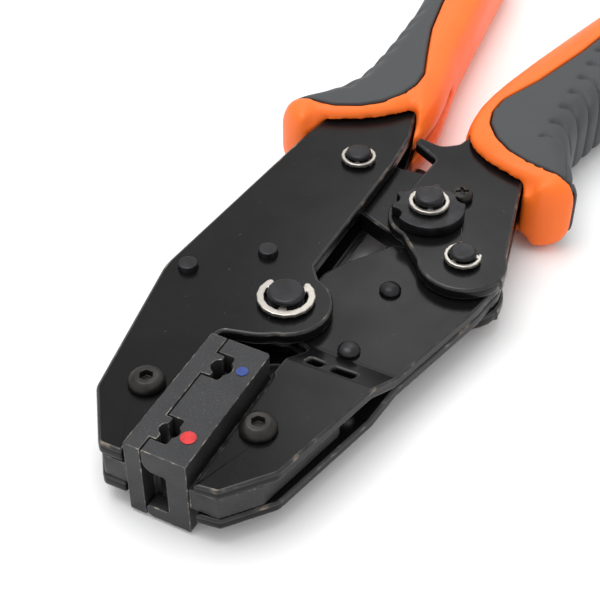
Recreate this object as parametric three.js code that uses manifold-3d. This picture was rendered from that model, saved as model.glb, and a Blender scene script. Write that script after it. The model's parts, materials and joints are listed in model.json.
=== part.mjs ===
// Ratchet crimping tool with a fixed jaw, a toggle linkage and exchangeable dies.
//
// Drawing frame, in millimetres: the main pivot is at x = y = 0, +X runs back to the grips along the line
// where the dies meet, +Y points to the fixed jaw, and z = 0 is the top face of the upper frame plate.
// The whole tool lies on its side, symmetric about the plane z = MID. It is drawn fully closed.
// At the end, one group moves it so that the origin is the centre of its footprint.

import * as THREE from 'three';
import { mergeVertices } from 'three/addons/utils/BufferGeometryUtils.js';
import Module from 'manifold-3d';

const wasm = await Module();
wasm.setup();

// ---- driving dimensions ------------------------------------------------------------------------------

const PLATE = 3.0;          // frame and handle plate thickness
const JAW_PLATE = 2.5;      // pressed jaw plate thickness
const MID = -6.0;           // plane of symmetry
const CORE_TOP = -3.3;      // top of the layer between the plates
const GAP = 0.3;            // clearance between pieces that move on each other
const SEAT = 0.2;           // clearance between pieces that are fixed to each other
const FLAT_FRONT = -0.5;    // top of the jaw plate beside the dies
const GRIP_TOP = 4.0;       // top of the grips
const SIDES = 16;           // facets of the pivot pins and of their holes

const MAIN = { x: 0, y: 0, r: 4.0 };             // jaw on frame
const KNEE = { x: 28.9, y: -27.8, r: 3.0 };      // handle on jaw
const ADJUST = { x: 39.9, y: -15.1, r: 3.3 };    // link on handle, on the adjusting pin
const ANCHOR = { x: 51.5, y: 7.6, r: 3.0 };      // link on frame
const PAWL = { x: 66.0, y: -23.0, r: 1.5 };      // pawl on handle

const FIXED_SCREW = { x: -33.5, y: 13.0 };
const MOVING_SCREW = { x: -33.8, y: -11.8 };
const SCREW_R = 2.0;
const HEAD_R = 3.8;
const FRAME_POSTS = { front: { x: -0.2, y: 23.5 }, rear: { x: 11.7, y: 10.5 }, tang: { x: 150, y: 18.6 } };
const JAW_RIVETS = { rear: { x: 16.0, y: -16.7 }, front: { x: -4.6, y: -16.8 } };
const HANDLE_POSTS = { tang: { x: 148, y: -38.2 }, spring: { x: 81, y: -24.5 } };
const POST_R = 2.1;
const LOCK_SCREW = { x: 48.9, y: -19.6 };
const SPRING_EAR = { x: 48.6, y: 16.6 };

const DIE = { front: -51.0, rear: -18.3, top: 3.3, bottom: -15.3, part: 3.4, slit: 0.25 };
const RED_NEST = -44.4;     // centre of the large nest
const BLUE_NEST = -25.8;    // centre of the small nest

const TOOTH_TIP = 15.5;     // ratchet sector on the link, about the adjusting pin
const TOOTH_ROOT = 14.0;
const TOOTH_PITCH = 4.5;

// ---- colours -----------------------------------------------------------------------------------------

const paint = (color, roughness, metalness) =>
  new THREE.MeshStandardMaterial({ color, roughness, metalness });
const blackPlate = paint('#1e1e21', 0.2, 0.4);
const dieSteel = paint('#3a3a3d', 0.55, 0.7);
const pinSteel = paint('#55555a', 0.35, 0.9);
const clipSteel = paint('#cfc9bd', 0.25, 1.0);
const screwSteel = paint('#2b2b2d', 0.4, 0.8);
const springSteel = paint('#8b8b8e', 0.35, 1.0);
const orange = paint('#ff6a1f', 0.45, 0.0);
const slate = paint('#5b6063', 0.6, 0.0);

// ---- small modelling kit -----------------------------------------------------------------------------

function solid(geometry) {
  geometry.deleteAttribute('normal');
  geometry.deleteAttribute('uv');
  const merged = mergeVertices(geometry, 1e-4);
  return new wasm.Manifold(new wasm.Mesh({
    numProp: 3,
    vertProperties: Float32Array.from(merged.attributes.position.array),
    triVerts: Uint32Array.from(merged.index.array),
  }));
}

function piece(name, body, material) {
  const { vertProperties, triVerts } = body.getMesh();
  const geometry = new THREE.BufferGeometry();
  geometry.setAttribute('position', new THREE.BufferAttribute(vertProperties, 3));
  geometry.setIndex(new THREE.BufferAttribute(triVerts, 1));
  geometry.computeVertexNormals();
  const mesh = new THREE.Mesh(geometry, material);
  mesh.name = name;
  return mesh;
}

// Closed outline through corners [x, y, radius]; a radius rounds its corner with an arc.
function outline(corners) {
  const shape = new THREE.Shape();
  corners.forEach(([x, y, radius = 0], i) => {
    const before = corners[(i + corners.length - 1) % corners.length];
    const after = corners[(i + 1) % corners.length];
    const here = new THREE.Vector2(x, y);
    const back = new THREE.Vector2(before[0], before[1]).sub(here).normalize();
    const on = new THREE.Vector2(after[0], after[1]).sub(here).normalize();
    const start = i === 0 ? 'moveTo' : 'lineTo';
    if (radius === 0) {
      shape[start](x, y);
      return;
    }
    const half = Math.acos(THREE.MathUtils.clamp(back.dot(on), -1, 1)) / 2;
    const first = here.clone().addScaledVector(back, radius / Math.tan(half));
    const last = here.clone().addScaledVector(on, radius / Math.tan(half));
    const centre = back.clone().add(on).normalize().multiplyScalar(radius / Math.sin(half)).add(here);
    const angle = (point) => Math.atan2(point.y - centre.y, point.x - centre.x);
    shape[start](first.x, first.y);
    shape.absarc(centre.x, centre.y, radius, angle(first), angle(last), back.cross(on) > 0);
  });
  return shape;
}

function extruded(shape, length) {
  return new THREE.ExtrudeGeometry(shape, { depth: length, bevelEnabled: false, curveSegments: 3 });
}

function prism(corners, bottom, top) {
  const geometry = extruded(outline(corners), top - bottom);
  return solid(geometry.translate(0, 0, bottom));
}

function rod({ x, y }, radius, bottom, top, sides = SIDES) {
  const geometry = new THREE.CylinderGeometry(radius, radius, top - bottom, sides);
  return solid(geometry.rotateX(Math.PI / 2).translate(x, y, (bottom + top) / 2));
}

function block(x0, x1, y0, y1, z0, z1) {
  const geometry = new THREE.BoxGeometry(x1 - x0, y1 - y0, z1 - z0);
  return solid(geometry.translate((x0 + x1) / 2, (y0 + y1) / 2, (z0 + z1) / 2));
}

// Turned piece about a vertical axis: profile of [radius, z], from the lower end on the axis upwards.
function turned({ x, y }, profile, sides = SIDES) {
  const points = profile.map(([radius, z]) => new THREE.Vector2(radius, z));
  return solid(new THREE.LatheGeometry(points, sides).rotateX(Math.PI / 2).translate(x, y, 0));
}

// Closed skin over rings of equal point count; the end rings are capped.
function skin(rings, capFaces) {
  const count = rings[0].length;
  const index = [];
  for (let k = 0; k + 1 < rings.length; k += 1) {
    for (let i = 0; i < count; i += 1) {
      const a = k * count + i;
      const b = k * count + ((i + 1) % count);
      index.push(a, b, b + count, a, b + count, a + count);
    }
  }
  const last = (rings.length - 1) * count;
  capFaces.forEach(([a, b, c]) => index.push(a, c, b, last + a, last + b, last + c));
  const geometry = new THREE.BufferGeometry();
  const coordinates = rings.flat().flatMap((point) => point.toArray());
  geometry.setAttribute('position', new THREE.Float32BufferAttribute(coordinates, 3));
  geometry.setIndex(index);
  return solid(geometry);
}

const mirrored = (body) => body.mirror([0, 0, 1]).translate([0, 0, 2 * MID]);
const join = (...bodies) => bodies.reduce((sum, body) => sum.add(body));
const polar = ({ x, y }, radius, degrees) => {
  const angle = THREE.MathUtils.degToRad(degrees);
  return [x + radius * Math.cos(angle), y + radius * Math.sin(angle)];
};

// ---- frame plates ------------------------------------------------------------------------------------

const FRAME_REAR = [
  [55.5, 23.6, 30], [74, 20.5, 20], [96, 17.6, 30], [118, 18.6, 40], [157, 22.6, 3], [158, 15.6, 3],
  [118, 11.4, 40], [90, 5.6, 20], [76, 3.2, 12], [66, 0.6, 12], [54, -0.3, 30],
];
const FRAME_OUTLINE = [
  [-50.6, 7.9, 0.6], [-50.7, 13.0, 1.5], [-38.6, 21.5, 4], [-1.4, 28.6, 12], ...FRAME_REAR,
  [12.6, -0.3, 1], [8.6, -3.4], [-6, -7.6], [-11.6, -0.4, 12],
  [-13.8, 7.9, 2],
];
const frameHoles = [
  rod(MAIN, MAIN.r + SEAT, -PLATE - 1, 1),
  rod(ANCHOR, ANCHOR.r + SEAT, -PLATE - 1, 1),
  rod(FIXED_SCREW, SCREW_R + SEAT, -PLATE - 1, 1, 10),
  ...Object.values(FRAME_POSTS).map((post) => rod(post, POST_R + SEAT, -PLATE - 1, 1, 10)),
];

function framePlate() {
  const lobe = rod({ x: -0.3, y: 0 }, 10.0, -PLATE, 0, 28);
  const blank = prism(FRAME_OUTLINE, -PLATE, 0).add(lobe);
  return blank.subtract(join(...frameHoles));
}

// ---- jaw plates --------------------------------------------------------------------------------------

const BEND = { front: -14.4, rear: -7.1 };       // the joggle between the die end and the pivot end
const JAW_OUTLINE = [
  [-51.2, -7.7, 0.4], [-50.5, -12.6, 1.5], [-41.5, -20.2, 3], [-14.5, -26.8, 30], [20, -35.6, 40],
  [28, -36.6], [33.5, -20], [30.4, -10.9, 1], [19.5, -3.4, 6], [14.8, -1.3, 3], [10, -1.2], [5, 3],
  [-6, -4], [-7.6, -9.6, 2], [-14.6, -7.3, 3], [-19, -7.1], [-20, -7.7],
];

function jawPlate() {
  const drop = FLAT_FRONT - CORE_TOP;
  const profile = outline([
    [-52, FLAT_FRONT], [BEND.front, FLAT_FRONT, 2], [BEND.rear, CORE_TOP, 2], [40, CORE_TOP],
    [40, CORE_TOP - JAW_PLATE], [BEND.rear - 0.6, CORE_TOP - JAW_PLATE, 2],
    [BEND.front - 0.6, CORE_TOP - JAW_PLATE + drop, 2], [-52, CORE_TOP - JAW_PLATE + drop],
  ]);
  const strip = extruded(profile, 45);
  const bent = solid(strip.rotateX(Math.PI / 2).translate(0, 5, 0));
  const flat = join(
    prism(JAW_OUTLINE, -9, 1),
    rod(MAIN, 6.9, -9, 1, 16),
    rod(KNEE, 9.1, -9, 1, 20),
  );
  const windows = join(
    prism([[-13.2, -11.2, 0.6], [-13.4, -14.3, 0.6], [-11.0, -14.6, 0.6], [-10.8, -11.5, 0.6]], -9, 1),
    prism([[-13.4, -16.8, 0.6], [-13.2, -21.4, 0.6], [-10.8, -21.7, 0.6], [-11.0, -16.6, 0.6]], -9, 1),
  );
  const holes = join(
    rod(MAIN, MAIN.r + GAP, -9, 1),
    rod(KNEE, KNEE.r + GAP, -9, 1),
    rod(MOVING_SCREW, SCREW_R + SEAT, -9, 1, 10),
    ...Object.values(JAW_RIVETS).map((rivet) => rod(rivet, 1.6 + SEAT, -9, 1, 8)),
  );
  return bent.intersect(flat).subtract(windows).subtract(holes);
}

// ---- handle plates -----------------------------------------------------------------------------------

const HANDLE_REAR = [
  [68.6, -11.1, 2], [74, -12.6, 6], [95, -19.0, 40], [120, -25.6, 60], [157, -37.0, 3],
  [155, -44.2, 3], [118, -34.8, 60],
  [92, -28.6, 30], [66, -28.8, 30],
];
const HANDLE_OUTLINE = [
  [20.6, -23.2], [32.8, -11.1], [36, -14], [44.5, -7.4], [49, -7.7, 20], [60.4, -8.6, 2], [64.4, -1.5, 1.2],
  [67.0, -1.4, 0.8], [65.8, -7.6, 3], ...HANDLE_REAR, [26.6, -37.6],
];
const handleHoles = [
  rod(KNEE, KNEE.r + SEAT, -PLATE - 1, 1),
  rod(ADJUST, ADJUST.r + SEAT, -PLATE - 1, 1),
  rod(LOCK_SCREW, 1.5 + SEAT, -PLATE - 1, 1, 10),
  rod(PAWL, PAWL.r + SEAT, -PLATE - 1, 1, 10),
  rod(HANDLE_POSTS.spring, 1.5 + SEAT, -PLATE - 1, 1, 10),
  rod(HANDLE_POSTS.tang, POST_R + SEAT, -PLATE - 1, 1, 10),
];

function handlePlate() {
  const blank = join(
    prism(HANDLE_OUTLINE, -PLATE, 0),
    rod(KNEE, 9.8, -PLATE, 0, 28),
    rod(ADJUST, 9.0, -PLATE, 0, 28),
  );
  return blank.subtract(join(...handleHoles));
}

// ---- toggle link with its ratchet sector, and the pawl -----------------------------------------------

function toggleLink() {
  const [bottom, top] = [2 * MID - CORE_TOP, CORE_TOP];
  const body = prism([
    [33.4, -13, 2], [34.9, -6.8, 6], [37.9, 0.4, 6], [44, 10], [59.4, 9, 3], [57.4, -2, 6], [58.2, -6.4, 2],
    [53.5, -10.5, 3], [52, -15.6], [42, -19], [36, -19],
  ], bottom, top);
  const teeth = [[ADJUST.x, ADJUST.y]];
  for (let angle = -68; angle < -13; angle += TOOTH_PITCH) {
    teeth.push(polar(ADJUST, TOOTH_ROOT, angle), polar(ADJUST, TOOTH_TIP, angle + TOOTH_PITCH * 0.7));
  }
  teeth.push(polar(ADJUST, TOOTH_ROOT, -12), polar(ADJUST, TOOTH_ROOT, -2), polar(ADJUST, 12, 20));
  const ear = rod(SPRING_EAR, 2.9, MID - 0.6, MID + 0.6, 16);
  const blank = join(
    body,
    prism(teeth, bottom, top),
    rod(ADJUST, 7.2, bottom, top),
    rod(ANCHOR, 8.5, bottom, top, 20),
    ear,
  );
  const slack = 1.5;       // room for the open pivot of the linkage
  const holes = join(
    rod(ADJUST, ADJUST.r + GAP, bottom - 1, top + 1),
    rod(ANCHOR, ANCHOR.r + GAP + slack, bottom - 1, top + 1),
    rod(SPRING_EAR, 1.4, bottom - 1, top + 1, 12),
  );
  return blank.subtract(holes);
}

const PAWL_TAIL = { x: 70.3, y: -27.4 };

function ratchetPawl() {
  const [bottom, top] = [MID - 2, MID + 2];
  const [tipX, tipY] = polar(ADJUST, TOOTH_TIP + 0.5, -6);
  const blank = join(
    prism([
      [tipX, tipY], [57.4, -15.4], [62, -18.2, 3], [68, -22], [64, -25.5], [59, -21.6, 4],
    ], bottom, top),
    rod(PAWL, 3.2, bottom, top, 24),
    prism([[67.5, -22.5], [64.5, -25.2], [69.5, -29.2], [72.3, -26.6]], MID - 0.7, MID + 0.7),
    rod(PAWL_TAIL, 2.3, MID - 0.7, MID + 0.7, 16),
  );
  return blank.subtract(rod(PAWL, PAWL.r + GAP, bottom - 1, top + 1, 24))
    .subtract(rod(PAWL_TAIL, 1.1, bottom - 1, top + 1, 12));
}

// ---- springs -----------------------------------------------------------------------------------------

// Tension spring from a ring round one post to a hook through an eye, both in the middle layer.
function tensionSpring(post, ringRadius, eye, hookRadius, coilRadius, wire, turns) {
  const start = new THREE.Vector2(post.x, post.y);
  const end = new THREE.Vector2(eye.x, eye.y);
  const along = end.clone().sub(start).normalize();
  const across = new THREE.Vector2(-along.y, along.x);
  const place = (distance, side, height) => new THREE.Vector3(
    start.x + along.x * distance + across.x * side,
    start.y + along.y * distance + across.y * side,
    MID + height,
  );
  const length = end.distanceTo(start);
  const coilStart = ringRadius + 2.2 * wire;
  const coilEnd = length - 2 * hookRadius - 0.6 * wire;
  const points = [];
  for (let degrees = 80; degrees <= 330; degrees += 50) {
    const angle = THREE.MathUtils.degToRad(degrees);
    points.push(place(ringRadius * Math.cos(angle), ringRadius * Math.sin(angle), 0));
  }
  const stepsPerTurn = 6;
  const steps = turns * stepsPerTurn;
  for (let i = 0; i <= steps; i += 1) {
    const angle = (2 * Math.PI * i) / stepsPerTurn - Math.PI / 2;
    const distance = coilStart + ((coilEnd - coilStart) * i) / steps;
    points.push(place(distance, coilRadius * Math.sin(angle), coilRadius * Math.cos(angle)));
  }
  for (let degrees = 150; degrees >= -100; degrees -= 50) {
    const angle = THREE.MathUtils.degToRad(degrees);
    points.push(place(length - hookRadius + hookRadius * Math.cos(angle), 0, hookRadius * Math.sin(angle)));
  }
  const path = new THREE.CatmullRomCurve3(points, false, 'chordal');
  const section = new THREE.Shape();
  const sides = 4;
  for (let i = 0; i < sides; i += 1) {
    const angle = (2 * Math.PI * i) / sides;
    section[i === 0 ? 'moveTo' : 'lineTo']((wire / 2) * Math.cos(angle), (wire / 2) * Math.sin(angle));
  }
  return solid(new THREE.ExtrudeGeometry(section, { steps: points.length + 6, extrudePath: path }));
}

// ---- pins, posts, clips and screws -------------------------------------------------------------------

// Pivot pin: head under the lower plate, plain shank, and a groove above the upper plate for its clip.
function pivotPin(pivot, headRadius, top, grooveBottom, grooveRadius) {
  const under = 2 * MID - SEAT;
  return turned(pivot, [
    [0, under - 1.4], [headRadius - 0.4, under - 1.4], [headRadius, under - 1.0], [headRadius, under],
    [pivot.r, under], [pivot.r, grooveBottom], [grooveRadius, grooveBottom],
    [grooveRadius, grooveBottom + 1.2],
    [pivot.r, grooveBottom + 1.2], [pivot.r, top - 0.4], [pivot.r - 0.4, top], [0, top],
  ]);
}

function retainingClip(pivot, grooveRadius, outerRadius, bottom, openingDegrees) {
  const top = bottom + 0.9;
  const innerRadius = grooveRadius + SEAT + (outerRadius - grooveRadius) * 0.42;
  const ring = rod(pivot, outerRadius, bottom, top).subtract(rod(pivot, innerRadius, bottom - 1, top + 1));
  const half = 46;
  const mouth = prism([
    [pivot.x, pivot.y], polar(pivot, outerRadius * 2, openingDegrees - half),
    polar(pivot, outerRadius * 2, openingDegrees + half),
  ], bottom - 1, top + 1);
  const width = outerRadius - innerRadius;
  const tips = [-half, half].map((side) => {
    const [x, y] = polar(pivot, innerRadius + width / 2, openingDegrees + side);
    return rod({ x, y }, width / 2, bottom, top, 8);
  });
  const lugs = [-half - 8, half + 8, 180].map((side) => {
    const [x, y] = polar(pivot, grooveRadius + SEAT + width / 2, openingDegrees + side);
    return rod({ x, y }, width / 2 + 0.2, bottom, top, 8);
  });
  return join(ring.subtract(mouth), ...tips, ...lugs)
    .subtract(rod(pivot, grooveRadius + SEAT, bottom - 1, top + 1, 14));
}

// Riveted spacer post: a shoulder between the plates, ends through both plates and proud of them.
function framePost(post, proud, waist) {
  const low = 2 * MID - CORE_TOP;
  return turned(post, [
    [0, 2 * MID - proud], [POST_R, 2 * MID - proud], [POST_R, low],
    [3.5, low], [3.5, low + 1.2], [waist, low + 1.4],
    [waist, CORE_TOP - 1.4], [3.5, CORE_TOP - 1.2], [3.5, CORE_TOP],
    [POST_R, CORE_TOP], [POST_R, proud], [0, proud],
  ], 12);
}

// Rivet through both jaw plates, with a low domed head on each side.
function jawRivet(rivet) {
  const head = [[2.45, 0], [2.35, 0.6], [1.7, 1.25], [0.8, 1.5], [0, 1.55]];
  const seat = CORE_TOP + SEAT;
  const lower = head.map(([radius, z]) => [radius, 2 * MID - seat - z]).reverse();
  const upper = head.map(([radius, z]) => [radius, seat + z]);
  return turned(rivet, [...lower, [1.6, 2 * MID - seat], [1.6, seat], ...upper], 12);
}

function dieScrew(place, seat) {
  const top = seat + 2.2;
  const body = turned(place, [
    [0, 2 * MID + 0.2], [SCREW_R - 0.4, 2 * MID + 0.2], [SCREW_R, 2 * MID + 0.6],
    [SCREW_R, seat], [HEAD_R, seat],
    [HEAD_R, seat + 0.6], [3.4, seat + 1.5], [2.4, top], [0, top],
  ], 16);
  return body.subtract(rod(place, 1.45, top - 1.5, top + 1, 6));
}

// Pan-head lock screw with a cross recess.
function lockScrew() {
  const top = 2.3;
  const body = turned(LOCK_SCREW, [
    [0, -PLATE], [1.5, -PLATE], [1.5, SEAT], [2.5, SEAT], [2.5, 1.2], [2.2, 1.8], [1.5, 2.2], [0, top],
  ], 16);
  const slot = (angle) => solid(new THREE.BoxGeometry(2.9, 0.7, 1.8)
    .rotateZ(angle).translate(LOCK_SCREW.x, LOCK_SCREW.y, top));
  return body.subtract(slot(0.5)).subtract(slot(0.5 + Math.PI / 2));
}

function adjustingWheel() {
  const [bottom, top] = [GAP, 2.8];
  const scallops = [];
  for (let angle = -45; angle <= 135; angle += 36) {
    const [x, y] = polar(ADJUST, 8.9, angle);
    scallops.push(rod({ x, y }, 2.2, bottom - 1, top + 1, 12));
  }
  return rod(ADJUST, 8.2, bottom, top, 30)
    .subtract(rod(ADJUST, ADJUST.r + SEAT, bottom - 1, top + 1))
    .subtract(join(...scallops, rod(LOCK_SCREW, 2.8, bottom - 1, top + 1, 16)));
}

// ---- dies --------------------------------------------------------------------------------------------

// The working faces: a raised stamp on the fixed die enters a cavity in the moving die at each nest.
function fixedDie() {
  const { front, rear, top, bottom, part } = DIE;
  const bar = block(front, rear, part + DIE.slit / 2, 7.1, bottom, top);
  const redStamp = prism([[-47.4, 4.5], [-47.4, 2.0, 0.3], [-41.4, 2.0, 0.3], [-41.4, 4.5]], bottom, top);
  const blueStamp = prism([[-28.9, 4.5], [-28.7, 1.4, 0.5], [-22.9, 1.4, 0.5], [-22.7, 4.5]], bottom, top);
  const grooves = join(
    rod({ x: RED_NEST, y: 1.6 }, 1.5, bottom - 1, top + 1, 16),
    rod({ x: BLUE_NEST, y: 0.9 }, 1.9, bottom - 1, top + 1, 16),
  );
  const tongue = prism([
    [-50.4, 6.5], [-50.4, 12.6, 1], [-40.6, 19.2, 2], [-20.5, 21.0, 2], [-18.7, 6.5],
  ], 2 * MID - CORE_TOP, CORE_TOP);
  return join(bar, redStamp, blueStamp).subtract(grooves).add(tongue)
    .subtract(rod(FIXED_SCREW, SCREW_R + SEAT, bottom - 1, top + 1, 10));
}

function movingDie() {
  const { front, rear, top, bottom, part } = DIE;
  const face = part - DIE.slit / 2;
  // The section is a C: two flanges reach the parting line, with a channel between them.
  const section = outline([
    [-6.3, top], [face, top, 0.3], [face, -2.2, 2.4], [-1.7, -2.2, 0.8], [-1.7, -12.2, 0.8],
    [face, -12.2, 0.8], [face, bottom, 1.2], [-6.3, bottom],
  ]);
  const bar = extruded(section, rear - front);
  const body = solid(bar.rotateX(Math.PI / 2).rotateZ(Math.PI / 2).translate(front, 0, 0));
  const cavities = join(
    prism([[-47.7, 5], [-47.7, -0.3, 0.4], [-41.1, -0.3, 0.4], [-41.1, 5]], bottom - 1, top + 1),
    rod({ x: RED_NEST, y: 0.3 }, 1.5, bottom - 1, top + 1, 16),
    prism([[-29.2, 5], [-29.2, -0.7, 0.8], [-22.4, -0.7, 0.8], [-22.4, 5]], bottom - 1, top + 1),
    rod({ x: BLUE_NEST, y: 0.2 }, 1.9, bottom - 1, top + 1, 16),
  );
  const cornerCut = [[rear + 1, -2], [rear + 1, -8], [rear - 6, -8], [rear, -6.3, 2.5]];
  const corner = prism(cornerCut, bottom - 1, top + 1);
  const tongue = prism([
    [-50.4, -5.5], [-50.2, -12.2, 1], [-43.4, -18.0], [-20, -23.4, 2], [-18.7, -5.5],
  ], 2 * MID - CORE_TOP, CORE_TOP);
  return body.subtract(cavities).subtract(corner).add(tongue)
    .subtract(rod(MOVING_SCREW, SCREW_R + SEAT, bottom - 1, top + 1, 10));
}

// ---- grips -------------------------------------------------------------------------------------------

// Each grip is a soft rounded bar given by stations [x, y of the palm-gap side, y of the outer side].
const FIXED_GRIP = {
  stations: [
    [56.5, 12, 27.0], [58, 8, 30.2], [60.5, 4, 32.9], [63.5, 1, 33.7], [67, -0.5, 31.6], [70.5, -1.2, 28.4],
    [75, -1.4, 25.6], [80, -1.2, 23.5], [86, -0.4, 22.5], [94, 1.2, 22.2], [104, 3.2, 22.3],
    [120, 5.3, 23.0], [140, 7.6, 25.6], [160, 9.9, 29.0], [171, 12.0, 30.6],
  ],
  end: [174.5, 16.5, 27.5],
  rim: [[80, -6], [69.9, -3.0], [69.9, 0.4], [75.5, 3.2], [70.4, 7.2], [65.3, 13.4],
    [62.2, 19.5], [60.6, 24.2],
    [56.0, 24.4], [50, 40]],
  shoulder: [[88, -8], [80, -4], [77.0, 3.4], [81.0, 6.6], [73.5, 9.6], [69.0, 15.0],
    [66.4, 21.0], [65.4, 26.8],
    [62.0, 27.0], [56, 44]],
  overlay: [[64.6, 45], [64.5, 28.0], [65.2, 21.0], [68, 15], [72, 10.5], [77, 7.6], [82, 6.2], [88, 6.4],
    [97, 9.5], [109, 13.3], [122, 15.8], [140, 18.6], [158, 22.0], [166, 25.5], [169, 33], [169, 45]],
};
const MOVING_GRIP = {
  stations: [
    [56.5, -20, -35.8], [58, -17, -39.0], [60.5, -14, -41.9], [63.5, -12.6, -42.7], [67, -11.9, -41.0],
    [71, -11.3, -38.8], [75, -10.4, -37.4], [79, -9.8, -36.4], [84, -9.6, -35.2], [90, -10.3, -35.5],
    [97, -11.6, -37.0], [110, -14.7, -40.1], [128, -19.4, -44.6], [146, -24.4, -49.0], [166, -30.4, -53.6],
  ],
  end: [170.5, -35.5, -50.5],
  rim: [[80, -4], [72.2, -8.0], [71.6, -11.4], [66.2, -14.6], [62.6, -20.2], [60.2, -27.0], [59.8, -31.4],
    [59.6, -33.2], [56.0, -33.4], [50, -50]],
  shoulder: [[84, -2], [77, -6.0], [77.0, -12.8], [71.0, -17.0], [67.0, -22.6], [65.0, -28.6], [64.2, -33.6],
    [63.8, -36.4], [62.0, -38.0], [56, -52]],
  overlay: [[62.0, -55], [62.5, -39.0], [63.5, -34.0], [64.5, -29.0], [66.5, -24.0], [70.0, -19.5],
    [75, -16.0], [80, -14.8], [86, -15.2], [98, -20.2], [117, -25.8], [135, -29.6], [152, -35.4],
    [162, -42], [164, -55]],
};
const GRIP_CORNER = 5.5;
const OVERLAY = 2.4;        // depth of the soft overlay
const CORNERS = [[1, 1], [1, -1], [-1, -1], [-1, 1]];

function gripSection([x, y0, y1], inset) {
  const low = Math.min(y0, y1) + inset;
  const high = Math.max(y0, y1) - inset;
  const half = GRIP_TOP - MID - inset;
  const corner = Math.min(GRIP_CORNER, (high - low) * 0.45);
  const ring = [];
  const arcSteps = 2;
  const sides = [[high, half, 0], [low, half, 90], [low, -half, 180], [high, -half, 270]];
  sides.forEach(([sideY, sideZ, turn]) => {
    const centreY = sideY - Math.sign(sideY - (low + high) / 2) * corner;
    const centreZ = sideZ - Math.sign(sideZ) * corner;
    for (let i = 0; i <= arcSteps; i += 1) {
      const angle = THREE.MathUtils.degToRad(turn + (90 * i) / arcSteps);
      const y = centreY + corner * Math.cos(angle);
      ring.push(new THREE.Vector3(x, y, MID + centreZ + corner * Math.sin(angle)));
    }
  });
  return ring;
}

function gripBar(grip, inset) {
  const rings = grip.stations.map((station) => gripSection(station, inset));
  const [endX, endLow, endHigh] = grip.end;
  const tip = gripSection([endX - inset, endLow, endHigh], inset);
  const middle = (endLow + endHigh) / 2;
  const rounded = ({ x, y, z }) => new THREE.Vector3(x, middle + (y - middle) * 0.9, MID + (z - MID) * 0.62);
  rings.push(tip.map(rounded));
  const fan = rings[0].slice(2).map((_, i) => [0, i + 1, i + 2]);
  return skin(rings, fan);
}

// Everything in front of the rim, above the upper plate: it leaves a rounded shoulder behind it.
function shoulderCutter(grip) {
  const levels = [0, 45, 90];
  const closing = grip.rim[0][1] < grip.rim.at(-1)[1] ? [[30, 44], [30, -12]] : [[30, -54], [30, -2]];
  const ringAt = (lift, height) => {
    const front = grip.rim.map(([x, y], i) => {
      const [backX, backY] = grip.shoulder[i];
      return new THREE.Vector3(x + (backX - x) * lift, y + (backY - y) * lift, height);
    });
    return [...front, ...closing.map(([x, y]) => new THREE.Vector3(x, y, height))];
  };
  const rings = [ringAt(0, -0.4)];
  levels.forEach((degrees) => {
    const angle = THREE.MathUtils.degToRad(degrees);
    rings.push(ringAt(1 - Math.cos(angle), GAP + (GRIP_TOP - GAP) * Math.sin(angle)));
  });
  rings.push(ringAt(1, GRIP_TOP + 2));
  return stack(rings);
}

// Skin over rings stacked upward. It turns clockwise rings over, so that the faces point out.
function stack(rings) {
  const flat = (ring) => ring.map((p) => new THREE.Vector2(p.x, p.y));
  const clockwise = THREE.ShapeUtils.isClockWise(flat(rings[0]));
  const loops = clockwise ? rings.map((ring) => [...ring].reverse()) : rings;
  const base = flat(loops[0]);
  const faces = THREE.ShapeUtils.triangulateShape(base, []).map((face) => {
    const clockwiseFace = THREE.ShapeUtils.isClockWise(face.map((i) => base[i]));
    return clockwiseFace ? [...face].reverse() : face;
  });
  return skin(loops, faces);
}

function gripPieces(grip, socket, mouth) {
  const shoulder = shoulderCutter(grip);
  const carved = gripBar(grip, 0)
    .subtract(shoulder).subtract(mirrored(shoulder)).subtract(socket).subtract(mouth);
  const zone = prism(grip.overlay, 2 * MID - GRIP_TOP - 1, GRIP_TOP + 1);
  const core = gripBar(grip, OVERLAY);
  const inner = CORNERS.map(([x, y]) => zone.translate([x * SEAT, y * SEAT, 0]))
    .reduce((kept, shifted) => kept.intersect(shifted));
  const overlay = carved.intersect(inner).subtract(core).subtract(socket);
  const bed = zone.subtract(gripBar(grip, OVERLAY + GAP));
  const base = carved.subtract(bed);
  return { base, overlay };
}

// The socket holds both tangs with a seat all round; the mouth opens it along the palm-gap side.
function socketFor(blank) {
  return join(...CORNERS.map(([x, y]) => blank.translate([x * GAP, y * GAP, 0])));
}

const [socketBottom, socketTop] = [2 * MID - GAP, GAP];
const fixedSocket = socketFor(prism([[-1.4, 28.6], ...FRAME_REAR, [12.6, -0.3]], socketBottom, socketTop));
const fixedMouth = prism([[60, -6], [60, 10], [80, 8], [99, 6.8], [99, 4.0], [90, -6]], MID - 1.1, MID + 1.1);
const movingSocket = socketFor(prism([[50, -7.6], [65.8, -7.6], ...HANDLE_REAR, [26.6, -37.6]],
  socketBottom, socketTop));
const movingMouth = prism([[60, -34], [60, -8], [70, -8], [80, -18], [80, -34]], MID - 2.7, MID + 2.7);

// ---- assembly ----------------------------------------------------------------------------------------

const topFramePlate = framePlate();
const topJawPlate = jawPlate();
const topHandlePlate = handlePlate();
const fixedGrip = gripPieces(FIXED_GRIP, fixedSocket, fixedMouth);
const movingGrip = gripPieces(MOVING_GRIP, movingSocket, movingMouth);

const tool = new THREE.Group();

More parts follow.
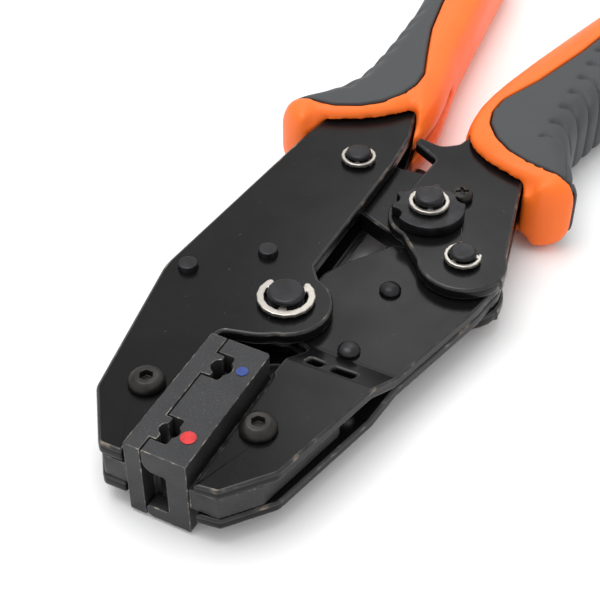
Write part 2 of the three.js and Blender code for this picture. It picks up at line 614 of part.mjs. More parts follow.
const frame = [
  piece('frame_plate_top', topFramePlate, blackPlate),
  piece('frame_plate_bottom', mirrored(topFramePlate), blackPlate),
  piece('frame_post_front', framePost(FRAME_POSTS.front, 1.5, 3.0), pinSteel),
  piece('frame_post_rear', framePost(FRAME_POSTS.rear, 1.5, 2.4), pinSteel),
  piece('frame_tang_post', framePost(FRAME_POSTS.tang, 0, 3.0), pinSteel),
  piece('fixed_die', fixedDie(), dieSteel),
  piece('fixed_die_screw', dieScrew(FIXED_SCREW, SEAT), screwSteel),
  piece('main_pivot_pin', pivotPin(MAIN, 6.0, 3.0, 0.5, 3.2), pinSteel),
  piece('main_pivot_clip', retainingClip(MAIN, 3.2, 6.2, 0.65, 18), clipSteel),
  piece('link_anchor_pin', pivotPin(ANCHOR, 4.5, 2.8, 0.5, 2.3), pinSteel),
  piece('link_anchor_clip', retainingClip(ANCHOR, 2.3, 4.1, 0.65, 20), clipSteel),
  piece('return_spring', tensionSpring(FRAME_POSTS.rear, 3.2, SPRING_EAR, 1.7, 1.9, 0.9, 8), springSteel),
  piece('fixed_grip_base', fixedGrip.base, orange),
  piece('fixed_grip_overlay', fixedGrip.overlay, slate),
];

const jaw = [
  piece('jaw_plate_top', topJawPlate, blackPlate),
  piece('jaw_plate_bottom', mirrored(topJawPlate), blackPlate),
  piece('jaw_rivet_rear', jawRivet(JAW_RIVETS.rear), pinSteel),
  piece('jaw_rivet_front', jawRivet(JAW_RIVETS.front), pinSteel),
  piece('moving_die', movingDie(), dieSteel),
  piece('moving_die_screw', dieScrew(MOVING_SCREW, FLAT_FRONT + SEAT), screwSteel),
];

const handle = [
  piece('handle_plate_top', topHandlePlate, blackPlate),
  piece('handle_plate_bottom', mirrored(topHandlePlate), blackPlate),
  piece('handle_tang_post', framePost(HANDLE_POSTS.tang, 0, 3.0), pinSteel),
  piece('knee_pin', pivotPin(KNEE, 4.5, 2.8, 0.5, 2.3), pinSteel),
  piece('knee_clip', retainingClip(KNEE, 2.3, 4.1, 0.65, -20), clipSteel),
  piece('adjusting_pin', pivotPin(ADJUST, 4.8, 6.0, 3.2, 2.6), pinSteel),
  piece('adjusting_clip', retainingClip(ADJUST, 2.6, 4.6, 3.35, 27), clipSteel),
  piece('adjusting_wheel', adjustingWheel(), pinSteel),
  piece('wheel_lock_screw', lockScrew(), screwSteel),
  piece('pawl_pin', rod(PAWL, PAWL.r, 2 * MID + 0.2, -0.2, 16), pinSteel),
  piece('pawl_spring_pin', rod(HANDLE_POSTS.spring, 1.5, 2 * MID + 0.2, -0.2, 16), pinSteel),
  piece('pawl_spring', tensionSpring(HANDLE_POSTS.spring, 2.3, PAWL_TAIL, 1.5, 1.2, 0.6, 4), springSteel),
  piece('moving_grip_base', movingGrip.base, orange),
  piece('moving_grip_overlay', movingGrip.overlay, slate),
];

tool.add(
  ...frame, ...jaw, ...handle,
  piece('ratchet_pawl', ratchetPawl(), screwSteel),
  piece('toggle_link', toggleLink(), blackPlate),
);

const extent = new THREE.Box3().setFromObject(tool);
tool.position.set(-(extent.min.x + extent.max.x) / 2, -(extent.min.y + extent.max.y) / 2, -extent.min.z);

export default tool;
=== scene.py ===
# %% [markdown]
# Ratchet crimping tool, lesson in cells.
# The steel frame, jaws, handles, pins and dies come from the design files with their true sizes.
# Blender adds what a machinist and a moulder would add: rolled edges, wear, gloss, grain and paint.
# The first cell loads the design and keeps its box, which is printed at the end.

# %% Load the design
import json
import math
import bmesh
import bpy
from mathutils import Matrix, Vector
from mathutils.bvhtree import BVHTree


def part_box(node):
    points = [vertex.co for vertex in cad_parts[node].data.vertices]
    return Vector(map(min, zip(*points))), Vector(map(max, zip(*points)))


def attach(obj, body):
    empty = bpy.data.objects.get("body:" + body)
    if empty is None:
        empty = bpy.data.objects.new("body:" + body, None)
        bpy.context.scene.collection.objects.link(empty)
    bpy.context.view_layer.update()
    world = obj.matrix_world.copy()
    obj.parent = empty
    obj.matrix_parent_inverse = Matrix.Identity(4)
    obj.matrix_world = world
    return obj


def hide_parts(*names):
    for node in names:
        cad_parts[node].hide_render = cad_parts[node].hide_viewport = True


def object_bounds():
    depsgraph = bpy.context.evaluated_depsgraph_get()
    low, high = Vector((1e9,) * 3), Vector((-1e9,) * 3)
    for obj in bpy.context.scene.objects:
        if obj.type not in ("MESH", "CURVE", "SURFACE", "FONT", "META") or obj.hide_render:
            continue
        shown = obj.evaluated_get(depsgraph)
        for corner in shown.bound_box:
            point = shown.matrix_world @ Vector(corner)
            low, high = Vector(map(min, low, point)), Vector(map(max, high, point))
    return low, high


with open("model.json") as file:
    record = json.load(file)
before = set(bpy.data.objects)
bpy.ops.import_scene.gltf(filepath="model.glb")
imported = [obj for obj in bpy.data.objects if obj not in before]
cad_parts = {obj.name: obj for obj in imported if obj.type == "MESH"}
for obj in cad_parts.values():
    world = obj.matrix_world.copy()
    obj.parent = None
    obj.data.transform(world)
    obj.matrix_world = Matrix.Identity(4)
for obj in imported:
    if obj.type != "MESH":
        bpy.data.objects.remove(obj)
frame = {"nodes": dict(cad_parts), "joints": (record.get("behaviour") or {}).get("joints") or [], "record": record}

design_box = [list(corner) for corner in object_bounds()]
nodes = frame["nodes"]
members_of_body = frame["record"]["behaviour"]["bodies"]
body_of_node = {node: body for body, members in members_of_body.items() for node in members}
slot_of_node = {part["node"]: part["material_slot"] for part in frame["record"]["subparts"]}

# %% [markdown]
# Places on the tool are given the way a fitter would: millimetres from the main pivot, along the tool,
# across it, and up from the outer face of the upper frame plate. The jaw hinge in the record says where
# the main pivot is, and the plates' mid-plane lies 6 mm below that outer face.

# %% Bench coordinates
MM = 0.001
HALF_THICKNESS = 6
jaw_hinge = next(joint for joint in frame["joints"] if joint["name"] == "jaw_pivot")
PIVOT = Vector(jaw_hinge["pos_m"]) + Vector((0, 0, HALF_THICKNESS * MM))


def bench(x, y, z=0.0):
    """A point of the tool, from millimetres about the main pivot to metres in the frame."""
    return PIVOT + Vector((x, y, z)) * MM


print("main pivot at", [round(value, 4) for value in PIVOT])

# %% [markdown]
# A finish is a small network of shader nodes. It could be an image wrapped round the piece, but noise
# that reads the piece's own coordinates has no seams and works on any shape, so every finish here is
# built from noise. The helpers start a Principled material, add a noise, and turn that noise into
# colour, roughness or bump. Object coordinates are in metres, so a noise scale of 1000 gives features
# of about 1 mm. A noise spends nearly all its time between 0.3 and 0.7, so that is the stretch that
# to_range spreads over the wanted values.

# %% Finish helpers
NOISE_LOW, NOISE_HIGH = 0.3, 0.7
finishes = {}


def start_finish(name, colour, roughness, metallic=0.0):
    finish = bpy.data.materials.new(name)
    finish.use_nodes = True
    tree = finish.node_tree
    shader = tree.nodes["Principled BSDF"]
    shader.inputs["Base Color"].default_value = (*colour, 1)
    shader.inputs["Roughness"].default_value = roughness
    shader.inputs["Metallic"].default_value = metallic
    place = tree.nodes.new("ShaderNodeTexCoord")
    return finish, tree, shader, place


def add_noise(tree, place, scale, detail=4.0, stretch=(1, 1, 1)):
    mapping = tree.nodes.new("ShaderNodeMapping")
    mapping.inputs["Scale"].default_value = stretch
    noise = tree.nodes.new("ShaderNodeTexNoise")
    noise.inputs["Scale"].default_value = scale
    noise.inputs["Detail"].default_value = detail
    tree.links.new(place.outputs["Object"], mapping.inputs["Vector"])
    tree.links.new(mapping.outputs["Vector"], noise.inputs["Vector"])
    return noise.outputs["Fac"]


def ramp(tree, value, stops):
    """Colours along a value; each stop is a position and a colour."""
    node = tree.nodes.new("ShaderNodeValToRGB")
    node.color_ramp.elements[0].position = stops[0][0]
    node.color_ramp.elements[0].color = (*stops[0][1], 1)
    node.color_ramp.elements[1].position = stops[-1][0]
    node.color_ramp.elements[1].color = (*stops[-1][1], 1)
    for position, colour in stops[1:-1]:
        element = node.color_ramp.elements.new(position)
        element.color = (*colour, 1)
    tree.links.new(value, node.inputs["Fac"])
    return node.outputs["Color"]


def to_range(tree, value, low, high):
    node = tree.nodes.new("ShaderNodeMapRange")
    node.inputs["From Min"].default_value = NOISE_LOW
    node.inputs["From Max"].default_value = NOISE_HIGH
    node.inputs["To Min"].default_value = low
    node.inputs["To Max"].default_value = high
    tree.links.new(value, node.inputs["Value"])
    return node.outputs["Result"]


def add_bump(tree, shader, height, depth, strength):
    """Bump as deep as depth, in millimetres."""
    bump = tree.nodes.new("ShaderNodeBump")
    bump.inputs["Distance"].default_value = depth * MM
    bump.inputs["Strength"].default_value = strength
    tree.links.new(height, bump.inputs["Height"])
    tree.links.new(bump.outputs["Normal"], shader.inputs["Normal"])


print("helpers ready; noise is read from", NOISE_LOW, "to", NOISE_HIGH)

# %% [markdown]
# The plates are stamped steel with a smooth black finish. A plain black would look like a hole,
# because real black steel mirrors the room softly. So the finish gets a very fine orange peel that
# breaks up the mirror, some cloudy variation in gloss, and specks of dust that show as pale dots.

# %% Black plate finish
def black_plate_finish():
    finish, tree, shader, place = start_finish("black_plate", (0.005, 0.005, 0.006), 0.2)
    cloud = add_noise(tree, place, 90, 5)
    specks = add_noise(tree, place, 900, 2)
    colour = ramp(tree, specks, [(0.0, (0.0045, 0.0045, 0.005)), (0.74, (0.006, 0.006, 0.0065)),
                                 (0.80, (0.05, 0.048, 0.045))])
    tree.links.new(colour, shader.inputs["Base Color"])
    tree.links.new(to_range(tree, cloud, 0.15, 0.27), shader.inputs["Roughness"])
    peel = add_noise(tree, place, 420, 3)
    add_bump(tree, shader, peel, 0.02, 0.5)
    shader.inputs["Specular IOR Level"].default_value = 0.17
    return finish


finishes["black_plate"] = black_plate_finish()
print("black_plate has", len(finishes["black_plate"].node_tree.nodes), "nodes")

# %% [markdown]
# Rolled edges of the plates have lost some of the black where hands and the bench rub them. The wear
# could be found by a shader that looks for edges, but the bevel already knows where they are, so this
# is a second material for its faces. Noise breaks the wear up: dark paint, thin grey-brown metal, and
# a few bright brassy touches.

# %% Worn edge finish
def worn_edge_finish():
    finish, tree, shader, place = start_finish("worn_edge", (0.03, 0.03, 0.031), 0.26, 0.3)
    scuffs = add_noise(tree, place, 260, 6, (1, 1, 3))
    colour = ramp(tree, scuffs, [(0.3, (0.016, 0.016, 0.018)), (0.58, (0.030, 0.030, 0.031)),
                                 (0.69, (0.16, 0.13, 0.10)), (0.8, (0.38, 0.32, 0.25))])
    tree.links.new(colour, shader.inputs["Base Color"])
    tree.links.new(to_range(tree, scuffs, 0.22, 0.42), shader.inputs["Roughness"])
    add_bump(tree, shader, scuffs, 0.03, 0.5)
    return finish


finishes["worn_edge"] = worn_edge_finish()
print("worn_edge has", len(finishes["worn_edge"].node_tree.nodes), "nodes")

# %% [markdown]
# The dies are ground and then oxidised to a flat dark grey. Under a lamp they sparkle a little: the
# grinding leaves a fine grain, and the oxide is thinner on the crests. One fine noise gives both the
# grain and its colour, so the pale crests sit on the bumps. Their edges chip more than they wear.

# %% Die steel finish
def die_steel_finish():
    finish, tree, shader, place = start_finish("die_steel", (0.036, 0.036, 0.038), 0.5, 0.5)
    grain = add_noise(tree, place, 2600, 4)
    cloud = add_noise(tree, place, 160, 4)
    colour = ramp(tree, grain, [(0.30, (0.027, 0.028, 0.030)), (0.66, (0.042, 0.042, 0.044)),
                                (0.80, (0.15, 0.145, 0.14))])
    tree.links.new(colour, shader.inputs["Base Color"])
    tree.links.new(to_range(tree, cloud, 0.4, 0.6), shader.inputs["Roughness"])
    add_bump(tree, shader, grain, 0.03, 0.4)
    return finish


def die_edge_finish():
    finish, tree, shader, place = start_finish("die_edge", (0.10, 0.098, 0.094), 0.4, 0.6)
    chips = add_noise(tree, place, 700, 5)
    colour = ramp(tree, chips, [(0.40, (0.045, 0.045, 0.046)), (0.55, (0.11, 0.105, 0.098)),
                                (0.70, (0.36, 0.33, 0.28))])
    tree.links.new(colour, shader.inputs["Base Color"])
    tree.links.new(to_range(tree, chips, 0.3, 0.5), shader.inputs["Roughness"])
    add_bump(tree, shader, chips, 0.04, 0.5)
    return finish


finishes["die_steel"] = die_steel_finish()
finishes["die_edge"] = die_edge_finish()
print("finishes so far:", ", ".join(finishes))

# %% [markdown]
# Pins, rivets, screws, clips and springs are small turned or stamped steel. They differ in colour and
# shine but not in kind, so one helper makes them all: turned faces show faint streaks, drawn out along
# the axis of the pins, and plated clips and springs stay bright.

# %% Small steel finishes
SMALL_STEEL_METALLIC = 0.85
AXIAL_STRETCH = (1, 1, 0.25)


def small_steel_finish(name, colour, roughness, spread):
    """Steel whose colour varies by spread, as a share of the colour itself."""
    finish, tree, shader, place = start_finish(name, colour, roughness, SMALL_STEEL_METALLIC)
    streaks = add_noise(tree, place, 700, 5, AXIAL_STRETCH)
    cloud = add_noise(tree, place, 220, 3)
    dark = tuple(value * (1 - spread) for value in colour)
    light = tuple(min(1, value * (1 + spread)) for value in colour)
    tree.links.new(ramp(tree, cloud, [(0.3, dark), (0.7, light)]), shader.inputs["Base Color"])
    tree.links.new(to_range(tree, streaks, roughness * 0.8, roughness * 1.3), shader.inputs["Roughness"])
    add_bump(tree, shader, streaks, 0.01, 0.4)
    return finish


finishes["pin_steel"] = small_steel_finish("pin_steel", (0.030, 0.030, 0.032), 0.34, 0.3)
finishes["black_screw"] = small_steel_finish("black_screw", (0.042, 0.040, 0.037), 0.4, 0.35)
finishes["clip_steel"] = small_steel_finish("clip_steel", (0.48, 0.45, 0.41), 0.3, 0.06)
finishes["spring_steel"] = small_steel_finish("spring_steel", (0.45, 0.45, 0.46), 0.32, 0.15)
print("finishes so far:", ", ".join(finishes))

# %% [markdown]
# The grips are moulded in two shots: a firm orange plastic, and a softer slate rubber over the palm
# side. Both carry a fine spark-eroded texture, which is bump rather than shape because it is only
# hundredths of a millimetre deep. Orange plastic lets a little light in, which warms its shadows.

# %% Grip finishes
def orange_grip_finish():
    finish, tree, shader, place = start_finish("orange_grip", (0.96, 0.170, 0.018), 0.45)
    cloud = add_noise(tree, place, 60, 4)
    colour = ramp(tree, cloud, [(0.3, (0.93, 0.155, 0.014)), (0.7, (1.0, 0.190, 0.024))])
    tree.links.new(colour, shader.inputs["Base Color"])
    tree.links.new(to_range(tree, cloud, 0.36, 0.50), shader.inputs["Roughness"])
    grain = add_noise(tree, place, 2600, 3)
    add_bump(tree, shader, grain, 0.03, 0.5)
    shader.inputs["Specular IOR Level"].default_value = 0.3
    shader.inputs["Subsurface Weight"].default_value = 0.05
    shader.inputs["Subsurface Radius"].default_value = (0.004, 0.0015, 0.0005)
    shader.inputs["Subsurface Scale"].default_value = 1.0
    return finish


def slate_grip_finish():
    finish, tree, shader, place = start_finish("slate_grip", (0.040, 0.044, 0.047), 0.55)
    cloud = add_noise(tree, place, 70, 4)
    colour = ramp(tree, cloud, [(0.3, (0.034, 0.038, 0.041)), (0.7, (0.046, 0.050, 0.054))])
    tree.links.new(colour, shader.inputs["Base Color"])
    tree.links.new(to_range(tree, cloud, 0.5, 0.66), shader.inputs["Roughness"])
    grain = add_noise(tree, place, 2200, 4)
    add_bump(tree, shader, grain, 0.04, 0.5)
    return finish


finishes["orange_grip"] = orange_grip_finish()
finishes["slate_grip"] = slate_grip_finish()
print("made", len(finishes), "finishes")

# %% [markdown]
# A finished copy has to move with the same body as the piece that it stands for, and take its finish
# from the same slot. Every stand-in below goes through this one helper, so none is forgotten.

# %% Stand-ins for design pieces
def stand_in(node, mesh):
    """Put a finished mesh in the place of its design piece, on the same body and in the same slot."""
    piece = bpy.data.objects.new(node + "_finished", mesh)
    bpy.context.scene.collection.objects.link(piece)
    mesh.materials.append(finishes[slot_of_node[node]])
    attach(piece, body_of_node[node])
    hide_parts(node)


print("slots in use:", ", ".join(sorted(set(slot_of_node.values()))))

# %% [markdown]
# Holes under a rivet or pin head keep their sharp edges, because nobody sees or rubs them, and a bevel
# there would only make slivers between the hole and the head. The heads themselves say which spots
# those are, so no list of places is needed.

# %% Covered spots
HEADED = ("_pin", "_post", "_rivet", "_screw")


def covered_spots():
    """Round spots, seen from above, that the head of a pin, post, rivet or screw covers."""
    spots = []
    for node in nodes:
        if any(word in node for word in HEADED):
            low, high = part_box(node)
            spots.append(((low + high).xy / 2, (high.x - low.x) / 2))
    return spots


COVERED = covered_spots()


def is_covered(edge):
    ends = [vert.co.xy for vert in edge.verts]
    return any(all((end - centre).length < radius for end in ends) for centre, radius in COVERED)


print(len(COVERED), "spots are covered by a head")

# %% [markdown]
# Real edges are never razor sharp: stamping rolls them over and machining breaks them. A Bevel
# modifier could round them, but it would trip over the design's loose triangles. So each design piece
# is copied, its triangles are merged, flat neighbours are dissolved into one face, and then the sharp
# edges are bevelled. The bevel faces can take a second, worn finish. Round walls and bevels are shaded
# smooth, and large faces stay flat.

# %% Edge breaking
WELD = 0.05
LEVEL_ANGLE = 0.01
DISSOLVE_ANGLE = math.radians(0.6)
SHARP_ANGLE = math.radians(32)
SMOOTH_ANGLE = math.radians(40)
LEAST_TURN = math.radians(1)
LARGE_FACE = 40


def is_curved(face, rolled):
    """True when a small face turns gently into a neighbour, as the facets of a round wall do."""
    if face.calc_area() > LARGE_FACE * MM * MM:
        return False
    for edge in face.edges:
        if edge.is_manifold and not rolled.intersection(edge.link_faces):
            if LEAST_TURN < edge.calc_face_angle() < SHARP_ANGLE:
                return True
    return False


def merged_copy(node):
    """The design piece as whole faces, without its loose triangles."""
    bm = bmesh.new()
    bm.from_mesh(nodes[node].data)
    bmesh.ops.remove_doubles(bm, verts=bm.verts, dist=WELD * MM)
    bm.normal_update()
    level = [edge for edge in bm.edges if edge.is_manifold and edge.calc_face_angle() < LEVEL_ANGLE]
    bmesh.ops.beautify_fill(bm, faces=bm.faces, edges=level, method="ANGLE")
    bmesh.ops.dissolve_limit(bm, angle_limit=DISSOLVE_ANGLE, verts=bm.verts, edges=bm.edges)
    bm.normal_update()
    return bm


def broken_edges(node, width, segments, edge_finish):
    mesh = bpy.data.meshes.new(node + "_finished")
    bm = merged_copy(node)
    sharp = [edge for edge in bm.edges if edge.is_manifold and edge.calc_face_angle() > SHARP_ANGLE]
    if slot_of_node[node] == "black_plate":
        sharp = [edge for edge in sharp if not is_covered(edge)]
    made = bmesh.ops.bevel(bm, geom=sharp, offset=width * MM, offset_type="OFFSET", segments=segments,
                           profile=0.5, affect="EDGES", clamp_overlap=False, loop_slide=False,
                           material=-1)
    bm.normal_update()
    rolled = set(made["faces"])
    for face in bm.faces:
        face.material_index = 1 if edge_finish and face in rolled else 0
        face.smooth = face in rolled or is_curved(face, rolled)
    for edge in bm.edges:
        edge.smooth = edge.is_manifold and edge.calc_face_angle() < SMOOTH_ANGLE
    bm.to_mesh(mesh)
    bm.free()
    stand_in(node, mesh)
    if edge_finish:
        mesh.materials.append(finishes[edge_finish])


print("edges sharper than", round(math.degrees(SHARP_ANGLE)), "degrees will be broken")

# %% [markdown]
# Each family of pieces gets the edge that its making leaves: stamped plates are rolled over by about
# two thirds of a millimetre, ground dies are nearly sharp, and turned pins are chamfered. The plates'
# wide edges catch the light most, so they get more segments. Springs keep their round wire, so they
# only take a finish. The grips follow further down.

# %% Finish every design piece
EDGE_WIDTH = {"black_plate": 0.65, "die_steel": 0.18, "pin_steel": 0.25, "black_screw": 0.15,
              "clip_steel": 0.2}
EDGE_SEGMENTS = {"black_plate": 4}
FEW_SEGMENTS = 2
WORN = {"black_plate": "worn_edge", "die_steel": "die_edge"}
finished = 0
for node in sorted(nodes):
    slot = slot_of_node[node]
    if slot == "spring_steel":
        nodes[node].data.materials.clear()
        nodes[node].data.materials.append(finishes["spring_steel"])
    if slot not in EDGE_WIDTH:
        continue
    broken_edges(node, EDGE_WIDTH[slot], EDGE_SEGMENTS.get(slot, FEW_SEGMENTS), WORN.get(slot))
    finished += 1
print("finished", finished, "pieces with broken edges")

# %% [markdown]
# The grips are moulded, so nothing on their outside is flat or sharp. The design's grips are faceted
# bars, and rounding them edge by edge would keep the facets. A voxel remesh turns them into one even
# skin instead, which can then be relaxed until the facets are gone.

# %% Even skins
SKIN_WELD = 0.01
RELAX_STRENGTH = 0.5


def remeshed(name, sources, voxel, rounds):
    """One even skin over the given design pieces, relaxed for a number of rounds."""
    bm = bmesh.new()
    for source in sources:
        bm.from_mesh(nodes[source].data)
    bmesh.ops.remove_doubles(bm, verts=bm.verts, dist=SKIN_WELD * MM)
    mesh = bpy.data.meshes.new(name)
    bm.to_mesh(mesh)
    bm.free()
    holder = bpy.data.objects.new(name, mesh)
    bpy.context.scene.collection.objects.link(holder)
    remesh = holder.modifiers.new("voxels", "REMESH")
    remesh.mode = "VOXEL"
    remesh.voxel_size = voxel * MM
    relax = holder.modifiers.new("relax", "SMOOTH")
    relax.factor = RELAX_STRENGTH
    relax.iterations = rounds
    even = bpy.data.meshes.new_from_object(holder.evaluated_get(bpy.context.evaluated_depsgraph_get()))
    bpy.data.objects.remove(holder)
    bm = bmesh.new()
    bm.from_mesh(even)
    bpy.data.meshes.remove(even)
    bm.normal_update()
    return bm


print("skins are relaxed by", RELAX_STRENGTH, "of the way each round")

# %% [markdown]
# The slate rubber has a relief for the hand. The moving grip carries crescent ribs for the fingers, and
# the fixed grip a row of soft dents along both edges of its back. Both could be bump, but they are
# millimetres wide and show in the outline, so they move the surface itself. Each relief is a formula:
# it takes a spot in bench millimetres and the way the surface faces, and gives a depth in millimetres.

# %% Reliefs of the grips
MID_HEIGHT = -6
RIB_START, RIB_EDGE = 74.0, -28.0
RIB_PITCH, RIB_COUNT = 7.2, 6.9
RIB_LEAN, RIB_CURL = 1.2, 0.19
RIB_HEIGHT, RIB_FULLNESS = 0.7, 0.6
GROOVE_DEPTH, GROOVE_WIDTH = 0.6, 0.5
RIB_MARGIN = 0.3
OUTWARD = 0.15
DIMPLE_LINE, DIMPLE_BOW, DIMPLE_MIDDLE = 20.4, 0.05, 97
DIMPLE_PLACES = range(75, 120, 7)
DIMPLE_RISE = 8.6
DIMPLE_DEPTH, DIMPLE_SPREAD = 0.9, 3.2


def rib_depth(spot, normal):
    """Crescent ribs of the moving grip: a sharp groove every pitch, with a soft swell between."""
    outer = normal.z * (spot.z - MID_HEIGHT) > OUTWARD or normal.y < -OUTWARD
    inward = RIB_EDGE - spot.y
    count = (spot.x - RIB_START - RIB_LEAN * inward + RIB_CURL * inward ** 2) / RIB_PITCH
    if not outer or not 0 < count < RIB_COUNT:
        return 0.0
    fade = min(1, max(0, inward - RIB_MARGIN)) * min(1, 2 * (RIB_COUNT - count))
    phase = count % 1
    line = RIB_PITCH * min(phase, 1 - phase)
    swell = math.sin(math.pi * phase) ** RIB_FULLNESS - 1
    return fade * (RIB_HEIGHT * swell - GROOVE_DEPTH * math.exp(-(line / GROOVE_WIDTH) ** 2))


def dimple_depth(spot, normal):
    """Finger dimples of the fixed grip: a row of soft dents along both edges of its back."""
    depth = 0.0
    for x in DIMPLE_PLACES:
        for z in (MID_HEIGHT - DIMPLE_RISE, MID_HEIGHT + DIMPLE_RISE):
            centre = Vector((x, DIMPLE_LINE + DIMPLE_BOW * abs(x - DIMPLE_MIDDLE), z))
            depth -= DIMPLE_DEPTH * math.exp(-(spot - centre).length_squared / DIMPLE_SPREAD)
    return depth


print(math.ceil(RIB_COUNT), "ribs and", 2 * len(DIMPLE_PLACES), "dimples")

# %% [markdown]
# For each grip, the orange core and the slate overlay are first joined into one skin and smoothed hard:
# that is the shape that the hand feels. Smoothing the two pieces on their own would open a step at the
# seam. So each piece is remeshed finely, and only its outer side is laid on that shape. Both stay
# flush, the seam between them stays visible, and the sockets for the steel keep their place.

# %% Moulded grips
SKIN_VOXEL, SKIN_ROUNDS = 0.9, 12
FINE_VOXEL, FINE_ROUNDS = 0.47, 10
SETTLE_ROUNDS, SETTLE_STRENGTH = 3, 0.4
NEAR_START, NEAR_SLOPE = 2.2, 1.2
FACING_START, FACING_SLOPE = 0.6, 2


def lay_on(shape, vert):
    """Move a point onto the shape: all the way if near and facing the same way, less the more it is not."""
    point, normal, _, distance = shape.find_nearest(vert.co)
    near = min(1, max(0, NEAR_START - NEAR_SLOPE * distance / MM))
    facing = min(1, max(0, FACING_SLOPE * normal.dot(vert.normal) - FACING_START))
    vert.co = vert.co.lerp(point, near * facing)


def mould_grip(side, relief):
    core, overlay = side + "_grip_base", side + "_grip_overlay"
    skin = remeshed(side + "_skin", (core, overlay), SKIN_VOXEL, SKIN_ROUNDS)
    shape = BVHTree.FromBMesh(skin)
    skin.free()
    for node in (core, overlay):
        bm = remeshed(node + "_even", (node,), FINE_VOXEL, FINE_ROUNDS)
        for vert in bm.verts:
            lay_on(shape, vert)
        for _ in range(SETTLE_ROUNDS):
            bmesh.ops.smooth_vert(bm, verts=bm.verts, factor=SETTLE_STRENGTH,
                                  use_axis_x=True, use_axis_y=True, use_axis_z=True)
        bm.normal_update()
        if node == overlay:
            for vert in bm.verts:
                vert.co += vert.normal * relief((vert.co - PIVOT) / MM, vert.normal) * MM
        for face in bm.faces:
            face.smooth = True
        mesh = bpy.data.meshes.new(node + "_finished")
        bm.to_mesh(mesh)
        bm.free()
        stand_in(node, mesh)
        print(node, len(mesh.polygons), "faces")


mould_grip("moving", rib_depth)
mould_grip("fixed", dimple_depth)

# %% [markdown]
# The two nests of the dies are colour coded with a drop of paint beside each, so that the user knows
# which terminal goes where. Coloured spots in the die's material would have no thickness, so each drop
# is a low dome of its own: a disc, inset twice, with its middle lifted each time.

# %% Paint drops
DROP_SIDES = 32
DROP_CLEARANCE = 0.01
DROP_STEPS = (0.07, 0.05)
DROP_INSET = 0.3
THIN_PAINT = 0.75


def paint_finish(name, colour):
    finish, tree, shader, place = start_finish(name, colour, 0.3)
    pool = add_noise(tree, place, 500, 3)
    tree.links.new(to_range(tree, pool, 0.22, 0.42), shader.inputs["Roughness"])
    dark = tuple(value * THIN_PAINT for value in colour)
    tree.links.new(ramp(tree, pool, [(0.35, dark), (0.6, colour)]), shader.inputs["Base Color"])
    add_bump(tree, shader, pool, 0.06, 0.6)
    return finish


def paint_drop(name, colour, x, y, radius):
    bm = bmesh.new()
    ring = bmesh.ops.create_circle(bm, cap_ends=True, segments=DROP_SIDES, radius=radius * MM)
    spot = bench(x, y)
    spot.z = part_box("moving_die")[1].z + DROP_CLEARANCE * MM
    bmesh.ops.translate(bm, verts=ring["verts"], vec=spot)
    middle_face = list(bm.faces)
    for height in DROP_STEPS:
        bmesh.ops.inset_region(bm, faces=middle_face, thickness=radius * DROP_INSET * MM,
                               depth=height * MM)
    for face in bm.faces:
        face.smooth = True
    mesh = bpy.data.meshes.new(name)
    bm.to_mesh(mesh)
    bm.free()
    mesh.materials.append(paint_finish(name, colour))
    drop = bpy.data.objects.new(name, mesh)
    bpy.context.scene.collection.objects.link(drop)
    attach(drop, "jaw")


paint_drop("red_paint_drop", (0.70, 0.020, 0.022), -44.5, -3.1, 1.55)
paint_drop("blue_paint_drop", (0.010, 0.045, 0.26), -25.1, -3.6, 1.2)
print("painted the two nest marks")

# %% [markdown]
# A product shot needs a plain pale floor and an even, bright room, so that the black plates mirror
# white and show as dark grey. Two soft lamps help the room. The big one hangs overhead and gives the
# soft shadow under the tool, and the small one stands beyond the handles, where the plates mirror it as
# a sheen. The floor lies a tenth of a millimetre under the lowest point of the tool. Colours are shown
# with the Standard view transform, because the default one fades the orange and the black.

# %% Stage and light
FLOOR_REACH = 6.0
FLOOR_GAP = 0.1
ROOM_STRENGTH = 0.9
TOOL_MIDDLE = bench(10, 0, 0)
PLATE_MIDDLE = bench(-20, -25)


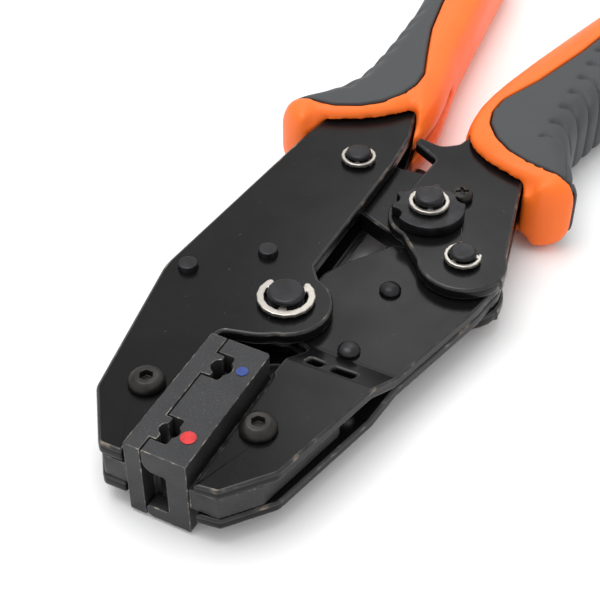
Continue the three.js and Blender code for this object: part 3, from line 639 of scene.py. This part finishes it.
def stage_floor():
    bm = bmesh.new()
    bmesh.ops.create_grid(bm, x_segments=1, y_segments=1, size=FLOOR_REACH)
    mesh = bpy.data.meshes.new("floor")
    bm.to_mesh(mesh)
    bm.free()
    floor = bpy.data.objects.new("floor", mesh)
    floor.location.z = design_box[0][2] - FLOOR_GAP * MM
    bpy.context.scene.collection.objects.link(floor)
    finish, *_ = start_finish("pale_floor", (0.97, 0.97, 0.97), 0.9)
    mesh.materials.append(finish)


def soft_lamp(name, place, aim, size, power):
    """A round lamp, with its place and size in metres and its power in watts."""
    light = bpy.data.lights.new(name, "AREA")
    light.shape = "DISK"
    light.size = size
    light.energy = power
    lamp = bpy.data.objects.new(name, light)
    lamp.location = place
    lamp.rotation_euler = (aim - place).to_track_quat("-Z", "Y").to_euler()
    bpy.context.scene.collection.objects.link(lamp)


stage_floor()
soft_lamp("overhead", TOOL_MIDDLE + Vector((0.0, 0.2, 0.9)), TOOL_MIDDLE, 0.7, 4.0)
soft_lamp("sheen", PLATE_MIDDLE + Vector((0.56, 0.16, 0.58)), PLATE_MIDDLE, 0.3, 0.5)
room = bpy.data.worlds.new("room")
room.use_nodes = True
room.node_tree.nodes["Background"].inputs["Color"].default_value = (1, 1, 1, 1)
room.node_tree.nodes["Background"].inputs["Strength"].default_value = ROOM_STRENGTH
bpy.context.scene.world = room
bpy.context.scene.view_settings.view_transform = "Standard"
print("lamps:", ", ".join(light.name for light in bpy.data.lights))

# %% [markdown]
# The camera stands over the die end and looks along the tool at about 42 degrees down. A 78 mm lens
# keeps the dies large without the strong perspective of a wide lens, and lets the grips run out of the
# frame.

# %% Camera
LENS, SENSOR = 78, 36
NEAREST, FARTHEST = 0.01, 20
camera_data = bpy.data.cameras.new("camera")
camera_data.lens = LENS
camera_data.sensor_width = SENSOR
camera_data.clip_start = NEAREST
camera_data.clip_end = FARTHEST
camera = bpy.data.objects.new("camera", camera_data)
camera.location = bench(-176.7, -93.9, 182.3)
aim = bench(1.5, -2.49, 0)
camera.rotation_euler = (aim - camera.location).to_track_quat("-Z", "Y").to_euler()
bpy.context.scene.collection.objects.link(camera)
bpy.context.scene.camera = camera
print("camera", [round(value, 3) for value in camera.location])

# %% [markdown]
# Last, the design's box is printed. The looks must stay inside the design's box.

# %% Print the design's box
bpy.context.view_layer.update()
print("design", design_box)
